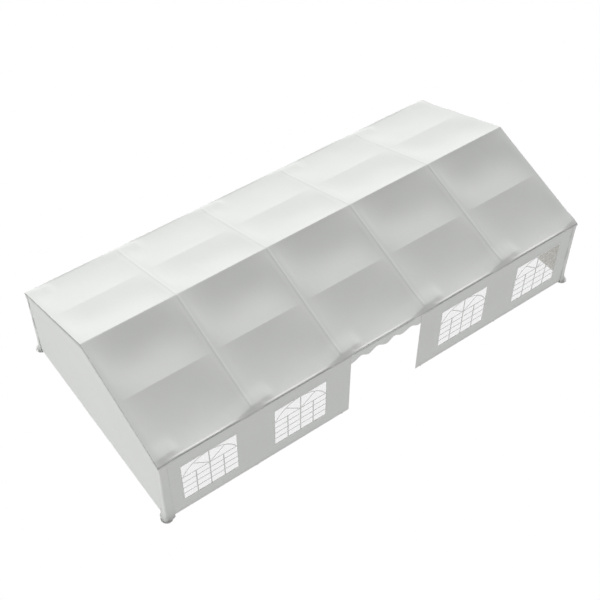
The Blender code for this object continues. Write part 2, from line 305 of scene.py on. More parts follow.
def lines(stops, step):
    """Places from the first stop to the last, through every stop, no further apart than step."""
    parts = [np.array([stops[0]])]
    for start, end in zip(stops[:-1], stops[1:]):
        count = max(int(np.ceil((end - start) / step - 1e-6)), 1)
        parts.append(np.linspace(start, end, count + 1)[1:])
    return np.concatenate(parts)


def stacked_rows(fixed, shares, end):
    """Rows at fixed places, then rows that share out what is left to the end of each column."""
    level = np.repeat(fixed[:, None], len(end), axis=1)
    return np.concatenate((level, fixed[-1] + shares[:, None] * (end - fixed[-1])))


def grid_faces(rows, columns, ring=False, turned=False):
    """The quads of a grid of points; with ring the last column joins the first, and turned
    quads face the other way."""
    across = columns if ring else columns - 1
    row, column = np.meshgrid(np.arange(rows - 1), np.arange(across), indexing="ij")
    first = row * columns + column
    beside = row * columns + (column + 1) % columns
    quads = np.stack((first, beside, beside + columns, first + columns), axis=-1).reshape(-1, 4)
    return quads[:, ::-1] if turned else quads


def make_mesh(name, points, faces, cloth=None):
    """A smooth mesh from points and quads; cloth gives each point its place on the flat sheet."""
    used, renumbered = np.unique(faces, return_inverse=True)
    places = points.reshape(-1, 3)[used]
    mesh = bpy.data.meshes.new(name)
    mesh.from_pydata(places.tolist(), [], renumbered.reshape(faces.shape).tolist())
    if cloth is not None:
        corner = np.empty(len(mesh.loops), dtype=np.int32)
        mesh.loops.foreach_get("vertex_index", corner)
        flat = cloth.reshape(-1, 2)[used][corner]
        mesh.uv_layers.new(name="cloth").data.foreach_set("uv", flat.ravel().astype(np.float32))
    mesh.shade_smooth()
    return mesh


def outward(mesh):
    """Turns the faces of closed solids outwards."""
    shape = bmesh.new()
    shape.from_mesh(mesh)
    bmesh.ops.recalc_face_normals(shape, faces=shape.faces)
    shape.to_mesh(mesh)
    shape.free()


def place(name, data):
    """Links new data as an object of the scene."""
    made = bpy.data.objects.new(name, data)
    bpy.context.scene.collection.objects.link(made)
    return made


def add_piece(name, mesh, slot, replaced=()):
    """Places a finished mesh as a piece that rides on the tent and takes a material slot."""
    for kind in SLOT_FINISHES[slot]:
        mesh.materials.append(finish_for(kind))
    piece = place(name, mesh)
    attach(piece, BODY)
    if replaced:
        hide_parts(*replaced)
    return piece


def thicken(piece, thickness=SHEET):
    """Gives a sheet its thickness behind its outer face; a second material goes to the back."""
    skin = piece.modifiers.new("thickness", "SOLIDIFY")
    skin.thickness = thickness
    skin.offset = -1
    skin.use_even_offset = False
    skin.material_offset = len(piece.data.materials) - 1
    return piece


def joined(parts):
    """Several (points, faces) pairs as one pair."""
    starts = np.cumsum([0] + [len(points) for points, _ in parts[:-1]])
    points = np.concatenate([points for points, _ in parts])
    faces = np.concatenate([faces + start for (_, faces), start in zip(parts, starts)])
    return points, faces


# Roof cover

def slope_height(d):
    """Height of the flat slope at a distance d from the ridge plane."""
    return RIDGE - d * tan(PITCH)


def near_arch(x, before, after):
    """1 close to an arch and 0 along the rest of a bay: it rises between the first pair of
    distances before an arch and falls between the second pair after it."""
    gap = x[:, None] - BAY_EDGES
    rise = smooth_rise(gap, -before[1], -before[0]) * (1 - smooth_rise(gap, *after))
    return rise.max(axis=1)


def beside_arch(x):
    """Where the eave gathers over the fittings."""
    return near_arch(x, *GATHERED)


def humped_arch(x):
    """Where the sheet rises over the gathered slack behind the eave; less so at the verges."""
    return near_arch(x, *HUMPED) * (1 - LOWER_HUMP * smooth_rise(np.abs(x), *VERGE_ZONE))


def at_corner(x):
    """1 over the corner sleeves and 0 away from them."""
    return smooth_rise(np.abs(x), *CORNER_ZONE)


def power_dip(d, start, end, slack):
    """Share of the sag at d: u - u^(n + 1) over its peak, for the share u of the span."""
    share = share_of(d, start, end)
    peak = slack / (slack + 1) ** (1 + 1 / slack)
    return (share - share ** (slack + 1)) / peak


def folded_dip(d, start, end, fold):
    """Share of the sag at d of a sheet that falls straight, turns over the middle of its span
    and rises straight: between the straight parts it is t - 2 t^3 + t^4 for their share t,
    which is 5/16 at the middle."""
    share = share_of(d, start, end)
    wide = 1 - 2 * fold
    turned = np.clip((share - fold) / wide, 0, 1)
    dip = fold + wide * (turned - 2 * turned ** 3 + turned ** 4)
    dip = np.where(share < fold, share, np.where(share > 1 - fold, 1 - share, dip))
    return dip / (fold + wide * (5 / 16))


def across_bay(x):
    """Share of the way from one arch to the next, 0 and 1 where the sheet leaves the rafters."""
    bay = np.clip(np.searchsorted(BAY_EDGES, x, side="right") - 1, 0, len(BAY_CENTRES) - 1)
    left, right = BAY_EDGES[bay], BAY_EDGES[bay + 1]
    return np.clip((x - left - FLAT_OVER_ARCH) / (right - left - 2 * FLAT_OVER_ARCH), 0, 1)


def cover_columns():
    """Places along the ridge, closer together over each arch, and how far each lies below the
    top of the sheet: the two verges roll over a small radius and tuck in behind the gable."""
    over_arch = [0, 0.006, 0.012, 0.020]
    close, wide = np.arange(0.06, 0.56, 0.045), np.linspace(0.6, 1.2, 9)
    half = np.concatenate((over_arch, close, wide))
    bay = np.concatenate((half, 2 * half[-1] - half[-2::-1]))
    flat_x = np.concatenate([edge + bay[:-1] for edge in BAY_EDGES[:-1]] + [[HALF_L]])
    flat_x = flat_x[np.abs(flat_x) < HALF_L - 0.011]
    turn = np.radians([0, 30, 60, 90, 120, 150])
    end_x = np.concatenate((VERGE_OUT - VERGE_R + VERGE_R * np.sin(turn), [VERGE_TUCK] * 2))
    end_drop = np.concatenate((VERGE_R * (1 - np.cos(turn)), [0.026, 0.050]))
    x = np.concatenate((-end_x[::-1], flat_x, end_x))
    drop = np.concatenate((end_drop[::-1], 0 * flat_x, end_drop))
    return x, drop


def hangs_down(x):
    """1 where the eave hangs straight down, beside an arch and at a corner, and 0 elsewhere."""
    return np.maximum(beside_arch(x), at_corner(x))


def eave_arc(x, cover):
    """Radius, centre, lift and last angle of the sheet's turn over the eave tube: an arc that
    touches the lifted slope, tight along a bay, hanging straight down beside an arch and wide
    at a corner."""
    bunched, corner = beside_arch(x), at_corner(x)
    radius = mix(mix(cover.bead_radius, cover.gathered_radius, bunched), cover.corner_radius,
                 corner)
    front = mix(mix(POST_Y + cover.bead_radius, GATHERED_OUT, bunched), CORNER_OUT, corner)
    lift = mix(*EAVE_LIFT, hangs_down(x))
    centre_d = front - radius
    centre_z = slope_height(centre_d) + lift - radius / cos(PITCH)
    last = np.radians(mix(*TURN_END, hangs_down(x)))
    return radius, centre_d, centre_z, lift, last


def arc_height(d, radius, centre_d, centre_z):
    """Height of a circle's upper half over a distance d, and of its centre outside it."""
    return centre_z + np.sqrt(np.maximum(radius ** 2 - (d - centre_d) ** 2, 0))


def eave_end(x, cover):
    """Distance out and height of the lower end of the eave's turn."""
    radius, centre_d, centre_z, _, last = eave_arc(x, cover)
    return centre_d + radius * np.cos(last), centre_z + radius * np.sin(last)


def wall_top(x, cover):
    """Upper edge of a long wall: it stands in front of the turned eave's underside, and lies
    lower where the gathered eave hangs down over it."""
    return eave_end(x, cover)[1] + mix(*WALL_RISE, hangs_down(x))


def sheet_waves(x, d):
    """Low uneven waves of a tensioned sheet: five slanting sines, a few millimetres high."""
    waves = ((0.31, 0.42, 0.4, 0.0016), (-0.52, 0.66, 1.9, 0.0014), (0.93, 0.27, 3.1, 0.0010),
             (-0.74, -1.12, 5.2, 0.0008), (1.63, 0.85, 0.7, 0.0005))
    total = np.zeros(np.broadcast(x, d).shape)
    for along, down, phase, height in waves:
        total += height * np.sin(2 * pi * (along * x + down * d) + phase)
    return total


def fold_width(x):
    """How far the fold over the eave fittings reaches up the slope: it widens to the right of
    its arch and narrows to the left of it."""
    nearest = np.abs(x[:, None] - BAY_EDGES).argmin(axis=1)
    past = x - BAY_EDGES[nearest]
    before = np.maximum(FOLD + FOLD_BEFORE * past, FOLD_LEAST)
    return np.where(past < 0, before, FOLD + FOLD_AFTER * past)


def hump_share(x, d, arc_start):
    """Share of the hump over the eave fittings: a smooth rise to the crest of the fold, then a
    straight fall to the eave, both lower where the fold is narrow."""
    width = fold_width(x)
    crest = arc_start - width
    fall = share_of(d, arc_start, crest)
    rise = smooth_rise(d, crest - FOLD_RISE, crest)
    return np.where(d < crest, rise, fall) * np.minimum(width / FOLD, 1)


def seam_rise(x, d, arc_start, cover):
    """Rise of the seams beside the rafters: e to the minus square of the distance over the width
    of its side. They grow from the ridge and end at the crest of the fold."""
    past = x[:, None] - BAY_EDGES[1:-1] + SEAM_SHIFT
    side_width = np.where(past < 0, cover.seam_flank, cover.seam_tail)
    seam = cover.seam_height * np.exp(-(past / side_width) ** 2).max(axis=1)
    crest = arc_start - fold_width(x)
    return seam * np.minimum(1, d / SEAM_START) * (1 - smooth_rise(d, crest - SEAM_END, crest))


def slope_rows(arc_start):
    """Distances from the ridge plane of the rows of one slope, down to the start of the arc."""
    ridge = np.array([0, 0.004, 0.009, 0.015, 0.022, 0.030, 0.040, 0.055, 0.080])
    upper = np.linspace(ridge[-1], PURLIN_CREST - 0.03, 19)[1:]
    crease = PURLIN_CREST + np.array([-0.015, -0.005, 0, 0.005, 0.015, 0.030])
    lower = np.linspace(crease[-1], CLOSE_ROWS, 14)[1:]
    near_eave = 1 - (1 - np.linspace(0, 1, 19)[1:]) ** 1.5
    return stacked_rows(np.concatenate((ridge, upper, crease, lower)), near_eave, arc_start)


def sagging_slope(x, d, arc_start, cover):
    """Height of a slope: flat, rounded and lifted a little at the ridge, less the sag of each
    span. Each sag fades to the rafters as 1 less a power of the share of the way from mid-bay,
    and the waves fade with both."""
    past = np.abs(2 * across_bay(x) - 1)
    upper = folded_dip(d, 0, PURLIN_CREST, cover.fold_start)
    upper = (1 - past ** FADE_POWERS[0]) * upper
    lower = power_dip(d, PURLIN_CREST, arc_start, cover.lower_slack)
    lower = (1 - past ** FADE_POWERS[1]) * lower
    from_ridge = np.hypot(d, RIDGE_EASE)
    ridge_lift = mix(*RIDGE_LIFT, smooth_rise(x, *RIDGE_CLIMB))
    z = slope_height(from_ridge) + ridge_lift * np.exp(-from_ridge / RIDGE_FADE)
    z = z - cover.upper_sag * upper - cover.lower_sag * lower
    return z + sheet_waves(x, d) * np.minimum(upper + lower, 1)


def meet_eave(x, d, z, arc_start, cover):
    """Lifts the lower end of a slope to the turn over the eave, adds the humps over the fittings
    and keeps the sheet above the tube: the larger of both heights, rounded over."""
    radius, centre_d, centre_z, lift, _ = eave_arc(x, cover)
    bunched = beside_arch(x)
    start, end = mix(*LIFT_START, bunched), mix(*LIFT_STOP, bunched)
    z = z + lift * smooth_rise(d, arc_start - start, arc_start - end)
    z = z + cover.hump * humped_arch(x) * hump_share(x, d, arc_start)
    bead = arc_height(d, radius, centre_d, centre_z)
    bead = np.where(np.abs(d - centre_d) < radius, bead, z - 1)
    z = soft_max(z, bead, BEAD_EASE)
    z[-1] = bead[-1]
    return z


def valance_rows(x, end_d, end_z, cover):
    """The rows from the end of the eave's turn through the groove behind it and down the
    valance. Its foot is a cosine with one wave to a scallop; it flutters in the doorway."""
    scallop = 0.5 - 0.5 * np.cos(2 * pi * (x + HALF_L) / cover.scallop)
    foot = EAVE - mix(cover.valance_short, cover.valance_long, scallop)
    groove_d = np.stack((end_d - GROOVE_BACK, (end_d + VALANCE_OUT) / 2, 0 * x + VALANCE_OUT))
    groove_z = end_z - GROOVE[:, None]
    share = np.array([0.12, 0.3, 0.5, 0.7, 0.85, 0.95, 1])[:, None]
    hang_z = groove_z[-1] + share * (foot - groove_z[-1])
    flutter = FLUTTER[0] * np.sin(2 * pi * x / 0.71 + 1.1) + FLUTTER[1] * np.sin(x * 21)
    in_door = inside(x, DOOR_LEFT, DOOR_RIGHT, DOOR_EASE)
    hang_d = VALANCE_OUT + share ** 1.5 * (flutter - FLUTTER_BACK) * in_door
    return np.concatenate((groove_d, hang_d)), np.concatenate((groove_z, hang_z))


def roll_verges(x, drop, d, z, shown, limit):
    """Lays the columns at both verges below the sheet, square to it, and says how far they
    spread out near the eave."""
    along, down = np.gradient(d, axis=0), np.gradient(z, axis=0)
    length = np.hypot(along, down)
    inward = drop * shown * np.minimum(limit, 1)
    d = d + down / length * inward
    z = z - along / length * inward
    spread = smooth_rise(d, *SPREAD_DOWN) * shown * smooth_rise(np.abs(x), *SPREAD_ACROSS)
    return np.sign(x) * VERGE_SPREAD * spread, d, z


def half_cover(x, drop, cover):
    """One slope, eave and valance as places along the ridge, distances out and heights. The
    columns draw together behind the eave, because the valance is shorter than the roof."""
    radius, centre_d, centre_z, _, last = eave_arc(x, cover)
    tilt = PITCH + ARCH_TILT * humped_arch(x)
    arc_start = centre_d + radius * np.sin(tilt)
    d = slope_rows(arc_start)
    z = sagging_slope(x, d, arc_start, cover)
    z = meet_eave(x, d, z, arc_start, cover) + seam_rise(x, d, arc_start, cover)
    turn = mix(pi / 2 - tilt, last, np.linspace(0, 1, TURN_ROWS + 1)[1:, None])
    valance_x = x * VALANCE_REACH / VERGE_OUT
    hang_d, hang_z = valance_rows(valance_x, *eave_end(x, cover), cover)
    every_d = np.concatenate((d, centre_d + radius * np.cos(turn), hang_d))
    every_z = np.concatenate((z, centre_z + radius * np.sin(turn), hang_z))
    row = np.arange(len(every_d))[:, None] - len(d)
    hidden = smooth_rise(row, *NARROWING)
    limit = np.where(row < 0, 1, TURN_SHARE * radius / VERGE_DEPTH)
    spread, every_d, every_z = roll_verges(x, drop, every_d, every_z, 1 - hidden, limit)
    return mix(x, valance_x, hidden) + spread, every_d, every_z


def cover_points(cover):
    """The whole cover from the front valance over the ridge to the back valance."""
    x, drop = cover_columns()
    every_x, every_d, every_z = half_cover(x, drop, cover)
    front = np.stack((every_x, -every_d, every_z), axis=-1)[::-1]
    back = np.stack((every_x, every_d, every_z), axis=-1)[1:]
    points = np.concatenate((front, back))
    points[len(front) - 1, :, 1] = 0
    return points


def flat_places(points):
    """Places on the flat sheet: the length along each point's row and down its column."""
    across = np.linalg.norm(np.diff(points, axis=1), axis=2)
    down = np.linalg.norm(np.diff(points, axis=0), axis=2)
    u = np.concatenate((np.zeros((len(points), 1)), np.cumsum(across, axis=1)), axis=1)
    v = np.concatenate((np.zeros((1, points.shape[1])), np.cumsum(down, axis=0)))
    return np.stack((u, v), axis=-1)


def make_cover(cover):
    points = cover_points(cover)
    rows, columns = points.shape[:2]
    cloth = flat_places(points)
    mesh = make_mesh("roof_sheet", points, grid_faces(rows, columns), cloth)
    piece = thicken(add_piece("roof_sheet", mesh, "roof_sheet",
                              ("roof_cover", "valance_front", "valance_back")))
    return piece


# Panels


def wall_waves(along, z):
    """Slight waves of a hanging wall, a little behind its hems: upright folds that fade
    downwards and one long swell."""
    folds = 0.0012 * np.sin(2 * pi * along / 0.83 + 0.6 * np.sin(2.1 * z))
    swell = 0.0016 * np.sin(2 * pi * (0.21 * along + 0.33 * z) + 1.3)
    return folds * smooth_rise(z, 0.3, 1.9) + swell - SHEET


def hem_edge(edge, width, way=1):
    """The inner line of a hem and the foot of the step beside it."""
    return [edge + way * width, edge + way * (width + STEP)]


def opening_lines(start, end):
    """Lines at the ends of an opening, of its welded border and of the step beside that."""
    return [start - FILM_LAP - STEP, start - FILM_LAP, start, end, end + FILM_LAP,
            end + FILM_LAP + STEP]


def within(value, low, high):
    return (value > low - HAIR) & (value < high + HAIR)


def cells_within(value, low, high):
    """Which cells between neighbouring lines lie within two places."""
    lines_within = within(value, low, high)
    return lines_within[:-1] & lines_within[1:]


def hems(along, row_z):
    """How far the hems at the foot and at both sides of a panel stand up."""
    sides = (along < along[0] + SIDE_HEM + HAIR) | (along > along[-1] - SIDE_HEM - HAIR)
    return np.where((row_z < HEM_Z + FOOT_HEM + HAIR)[:, None] | sides, BAND, 0)


def add_panel(name, points, along, keep, turned):
    """Adds a hung panel; on the flat sheet each point lies at its place along it and its height,
    and only the cells in keep are made."""
    z = points[..., 2]
    cloth = np.stack((along + 0 * z, z), axis=-1)
    mesh = make_mesh(name, points, grid_faces(*z.shape, turned=turned)[keep.ravel()], cloth)
    return thicken(add_piece(name + "_panel", mesh, "wall_sheet", (name,)))


def make_wall(name, centres, side, cover):
    """A long-side panel with its window openings, doubled hems and welded window borders."""
    left, right = (corner.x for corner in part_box(name))
    windows = [(centre - WINDOW_WIDTH / 2, centre + WINDOW_WIDTH / 2) for centre in centres]
    stops = [left, left + STEP, *hem_edge(left, SIDE_HEM)]
    for start, end in windows:
        stops += opening_lines(start, end)
    stops += [*hem_edge(right, SIDE_HEM, -1)[::-1], right - STEP, right]
    x = lines(stops, WALL_CELL[0])
    low = [HEM_Z, HEM_Z + STEP, *hem_edge(HEM_Z, FOOT_HEM),
           *opening_lines(WINDOW_BOTTOM, WINDOW_TOP), WALL_UPPER]
    top = wall_top(x, cover)
    z = stacked_rows(lines(low, WALL_CELL[1]), np.array([0.35, 0.65, 0.8, 0.9, 1]), top)
    row_z = z[:, 0]
    out = hems(x, row_z)
    tall = within(row_z, WINDOW_BOTTOM - FILM_LAP, WINDOW_TOP + FILM_LAP)[:, None]
    open_z = cells_within(row_z, WINDOW_BOTTOM, WINDOW_TOP)[:, None]
    keep = np.ones((len(row_z) - 1, len(x) - 1), dtype=bool)
    for start, end in windows:
        out = np.where(tall & within(x, start - FILM_LAP, end + FILM_LAP), BAND, out)
        keep &= ~(open_z & cells_within(x, start, end))
    calm = smooth_rise(z, HEM_Z, HEM_Z + CALM_END) * (1 - smooth_rise(z, *CALM_TOP))
    calm = calm * inside(x, left, right, CALM_SIDE)
    out = out + wall_waves(x, z) * calm - TOP_BEND * smooth_rise(z, top - BEND_HEIGHT, top)
    points = np.stack((x + 0 * z, side * (WALL_OUT + out), z), axis=-1)
    piece = add_panel(name, points, x, keep, side > 0)
    return piece


def make_gable(name, front_edge, back_edge, end):
    """A gable panel from hem to roof: its upper rows share out the height under the slopes."""
    y = lines([front_edge, *hem_edge(front_edge, SIDE_HEM), 0,
               *hem_edge(back_edge, SIDE_HEM, -1)[::-1], back_edge], GABLE_CELL)
    top = slope_height(np.sqrt(y ** 2 + PEAK_EASE ** 2)) - VERGE_GROOVE / cos(PITCH)
    low = lines([HEM_Z, *hem_edge(HEM_Z, FOOT_HEM), GABLE_UPPER], GABLE_CELL)
    z = stacked_rows(low, np.linspace(0, 1, 15)[1:], top)
    calm = inside(z, HEM_Z, top, CALM_END) * inside(y, front_edge, back_edge, CALM_SIDE)
    out = hems(y, z[:, 0]) + wall_waves(y, z) * calm
    points = np.stack((end * (GABLE_OUT + out), y + 0 * z, z), axis=-1)
    keep = np.ones((len(z) - 1, len(y) - 1), dtype=bool)
    piece = add_panel(name, points, y, keep, end < 0)
    return piece


# Corner sleeves

def sleeve_path(wide_x, wide_y):
    """The section of a sleeve, as distances in from the two outer planes of the corner, with the
    outward way of each point, its share of the loose edge and whether it is on an outer face.
    The outer faces lap over the panels, and the cloth turns back there and goes round behind
    the post as the two inner faces."""
    proud, under, behind, lap, bend, loosening = 0.0038, 0.0016, 0.0008, 0.018, 0.030, 0.03
    along = np.linspace(wide_x + lap, bend - proud, 9)
    turn = np.radians(np.linspace(0, 90, 9))[1:-1]
    back = np.linspace(bend - proud, wide_y + lap, 9)
    loose_x = (along - wide_x + loosening) / (lap + loosening)
    loose_y = (back - wide_y + loosening) / (lap + loosening)
    parts = [
        (along, np.full(9, -proud), 0, -1, loose_x, 1),
        (bend - proud - bend * np.sin(turn), bend - proud - bend * np.cos(turn), -np.sin(turn),
         -np.cos(turn), 0, 1),
        (np.full(9, -proud), back, -1, 0, loose_y, 1),
        ([-under, -under, 0.004], [wide_y + lap, wide_y - behind, wide_y - behind], -1, 0,
         np.array([1, 0.6, 0]), 1),
        ([wide_x - behind], [wide_y - behind], 0, 0, 0, 0),
        ([wide_x - behind, wide_x - behind, wide_x + lap], [0.004, -under, -under], 0, -1,
         np.array([0, 0.6, 1]), 1),
    ]
    columns = []
    for part in parts:
        size = len(part[0])
        columns.append(np.stack([np.zeros(size) + value for value in part], axis=1))
    return np.concatenate(columns).T


def sleeve_tops(wide_x, at_y, way_y, outer, end, cover):
    """Height of the top of each column: under the eave on the face at the long side, under the
    verge on the face at the gable, and level on the two inner faces."""
    radius, centre_d, centre_z, _, _ = eave_arc(np.array([end * HALF_L]), cover)
    arc = arc_height(at_y, radius, centre_d, centre_z)
    under_cover = np.where(at_y > centre_d + radius * sin(PITCH), arc, slope_height(at_y))
    verge_top = under_cover - VERGE_GROOVE / cos(PITCH)
    front_top = eave_end(np.array([end * (HALF_L - wide_x / 2)]), cover)[1] + EAVE_LAP
    return np.where(outer > 0, np.where(way_y < -0.9, front_top, verge_top), INNER_TOP)


def make_sleeve(name, end, side, gape, cover):
    """A soft sleeve round a corner post. It flares over its base plate, swells a little towards
    the gable, widens under the corner of the cover, and the edges of its laps stand off by the
    gape in two stretches."""
    low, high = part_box(name)
    wide_x, wide_y = high.x - low.x, high.y - low.y
    in_x, in_y, way_x, way_y, loose, outer = sleeve_path(wide_x, wide_y)
    loose = np.clip(loose, 0, 1)
    top = sleeve_tops(wide_x, HALF_W - in_y, way_y, outer, end, cover)
    share = np.concatenate(([0, 0.012, 0.03, 0.06, 0.1], np.linspace(0.16, 1, 34)))[:, None]
    z = SLEEVE_FOOT + share * (top - SLEEVE_FOOT)
    flare = FLARE * np.exp(-(z - SLEEVE_FOOT) / FLARE_FADE) * (1 - LOOSE_LOSS * loose)
    flare = flare + 0.0008 * np.sin(9 * z) + TOP_FLARE * smooth_rise(z, *WIDER_TOP)
    swell = SWELL * (1 - smooth_rise(z, *SWELL_FADE)) * (1 - loose)
    stretch = np.clip(0.35 + np.cos(2 * pi * (z - FIRST_GAPE) / GAPE_APART), 0, 1)
    flare = flare + gape * stretch * loose * (1 - smooth_rise(z, *GAPE_END))
    x = end * (HALF_L - in_x + (flare + swell) * -way_x)
    y = side * (HALF_W - in_y + flare * -way_y)
    step = np.hypot(np.diff(in_x, append=in_x[0]), np.diff(in_y, append=in_y[0]))
    girth = np.concatenate(([0], np.cumsum(step)))
    cloth = np.stack((girth[:-1] + 0 * z, z), axis=-1)
    mesh = make_mesh(name, np.stack((x, y, z), axis=-1), grid_faces(*z.shape, ring=True), cloth)
    outward(mesh)
    piece = thicken(add_piece(name + "_cloth", mesh, "wall_sheet", (name,)))
    return piece


# Windows

def ribbon(path, width, inner, outer, side):
    """A flat strip along a path in the plane of a wall: a rectangle carried square to it."""
    path = np.asarray(path, dtype=float)
    way = np.gradient(path, axis=0)
    way = way / np.linalg.norm(way, axis=1)[:, None]
    across = np.stack((-way[:, 1], way[:, 0]), axis=1) * width / 2
    left, right = path + across, path - across
    low, high = np.full(len(path), side * inner), np.full(len(path), side * outer)
    corners = [np.stack((edge[:, 0], depth, edge[:, 1]), axis=1)
               for edge, depth in ((left, low), (right, low), (right, high), (left, high))]
    points = np.stack(corners, axis=1)
    last = (len(path) - 1) * 4
    caps = np.array([[3, 2, 1, 0], [last, last + 1, last + 2, last + 3]])
    return points.reshape(-1, 3), np.concatenate((grid_faces(len(path), 4, ring=True), caps))


def window_bars(centre, side, window):
    """The lattice on one window: uprights, level bars, an arch and its two spokes. The arch is
    part of a circle through both feet and the top, cut off at the opening: its height is the
    root of the radius squared less x squared, less the depth of the centre."""
    half, height = WINDOW_WIDTH / 2, WINDOW_TOP - WINDOW_BOTTOM
    spring = WINDOW_BOTTOM + window.springing * height
    inner = FILM_OUT - 0.0002
    parts = []

    def bar(path, kind):
        width = window.upright if kind == "upright" else window.crossbar
        parts.append(ribbon(path, width, inner, inner + BAR_OUT[kind], side))

    low, high = WINDOW_BOTTOM - BAR_LAP, WINDOW_TOP + BAR_LAP
    bar([(centre, low), (centre, high)], "upright")
    for x in (centre - half / 2, centre + half / 2):
        bar([(x, low), (x, spring)], "upright")
    for share in LEVEL_BARS:
        z = WINDOW_BOTTOM + share * height
        bar([(centre - half - BAR_LAP, z), (centre + half + BAR_LAP, z)], "level")
    foot, reach = half - ARCH_INSET, SPOKE_REACH * WINDOW_WIDTH
    bend = (foot ** 2 + window.arch_rise ** 2) / (2 * window.arch_rise)
    depth = bend - window.arch_rise
    cut = max(bend ** 2 - (high - spring + depth) ** 2, 0) ** 0.5
    tip = spring + (bend ** 2 - reach ** 2) ** 0.5 - depth
    for way in (-1, 1):
        x = np.linspace(cut, foot, 22)
        z = spring + np.sqrt(bend ** 2 - x ** 2) - depth
        bar(np.stack((centre + way * x, z), axis=1), "arch")
        bar([(centre, spring), (centre + way * reach, tip)], "spoke")
    return joined(parts)


def window_film(centre, side):
    """A clear film behind one opening, with slight ripples between its welded edges."""
    half = WINDOW_WIDTH / 2 + FILM_LAP
    x = np.linspace(-half, half, 36)
    z = np.linspace(WINDOW_BOTTOM - FILM_LAP, WINDOW_TOP + FILM_LAP, 32)[:, None]
    free = 1 - np.maximum(np.abs(x / half), np.abs(2 * (z - z[0]) / (z[-1] - z[0]) - 1)) ** 6
    ripple = 0.0005 * np.sin(5.3 * x + 3.1 * z + centre) * np.sin(2.2 * z - 1.7 * x) * free
    y = FILM_OUT - 0.0018 * free + ripple
    points = np.stack((centre + x + 0 * z, side * y, z + 0 * x), axis=-1)
    return points.reshape(-1, 3), grid_faces(len(z), len(x), turned=side > 0)


def make_windows(name, centres, side, window):
    """The films and the lattice bars of one wall."""
    points, faces = joined([window_film(centre, side) for centre in centres])
    film = add_piece(name.replace("film", "panes"), make_mesh(name, points, faces),
                     "window_film", (name,))
    points, faces = joined([window_bars(centre, side, window) for centre in centres])
    mesh = make_mesh(name + "_bars", points, faces)
    outward(mesh)
    mesh.set_sharp_from_angle(angle=radians(30))
    return [thicken(film, FILM), add_piece(name.replace("film", "bars"), mesh, "wall_sheet")]


# Feet

def turned_ring(profile, centre, count=48):
    """A closed profile of radius and height carried round an upright axis."""
    profile = np.array(profile)
    turn = np.linspace(0, 2 * pi, count + 1)[:-1, None]
    x = centre[0] + profile[:, 0] * np.cos(turn)
    y = centre[1] + profile[:, 0] * np.sin(turn)
    z = profile[:, 1] + 0 * turn
    points = np.stack((x, y, z), axis=-1)
    wrapped = np.concatenate((points, points[:1]))
    faces = grid_faces(len(wrapped), len(profile), ring=True)
    return points.reshape(-1, 3), faces % (count * len(profile))


def make_feet():
    """Rounded covers over the four corner base plates."""
    centres = [(x, side * (POST_Y - FOOT_INSET)) for x in (ARCH_X[0], ARCH_X[-1])
               for side in (-1, 1)]
    mesh = make_mesh("corner_feet", *joined([turned_ring(FOOT_PROFILE, at) for at in centres]))
    outward(mesh)
    mesh.set_sharp_from_angle(angle=radians(50))
    return add_piece("corner_feet", mesh, "frame_steel")


# Materials

def new_finish(name):
    finish = bpy.data.materials.new(name)
    finish.use_nodes = True
    return finish, finish.node_tree, finish.node_tree.nodes["Principled BSDF"]


def set_sockets(tree, made, values):
    """Sets the sockets of a node; another node's output is linked to its socket."""
    for socket, value in values.items():
        if isinstance(value, bpy.types.NodeSocket):
            tree.links.new(value, made.inputs[socket])
        else:
            made.inputs[socket].default_value = value


def node(tree, kind, values=None, **options):
    """Adds a node with its options and sockets and gives its outputs."""
    made = tree.nodes.new(kind)
    for option, value in options.items():
        setattr(made, option, value)
    set_sockets(tree, made, values or {})
    return made.outputs


def pattern(tree, kind, values):
    """A node that reads the piece's Object coordinates."""
    return node(tree, kind, {"Vector": node(tree, "ShaderNodeTexCoord")["Object"], **values})


def tone(colour, share=1.0):
    """A colour made darker or lighter by a share."""
    return (*[min(channel * share, 1) for channel in colour], 1)


def mixed(tree, factor, first, second):
    colours = {"Factor": factor, "A": first, "B": second}
    return node(tree, "ShaderNodeMix", colours, data_type="RGBA")["Result"]


def between(tree, share, low, high):
    """A number that runs from low to high with a share."""
    values = {"Value": share, "To Min": low, "To Max": high}
    return node(tree, "ShaderNodeMapRange", values)["Result"]


def relief(tree, height, strength, distance, **under):
    values = {"Height": height, "Strength": strength, "Distance": distance, **under}
    return node(tree, "ShaderNodeBump", values)["Normal"]


def verge_shade_mask(tree):
    """Mask of the painted verge shade: 0 on the roof and 1 on the edges of its verges, by the distance
    along the ridge.
    """
    along = pattern(tree, "ShaderNodeSeparateXYZ", {})["X"]
    out = node(tree, "ShaderNodeMath", {0: along}, operation="ABSOLUTE")["Value"]
    reach = {"Value": out, "From Min": HALF_L - 0.004, "From Max": HALF_L + 0.001}
    return node(tree, "ShaderNodeMapRange", reach)["Result"]


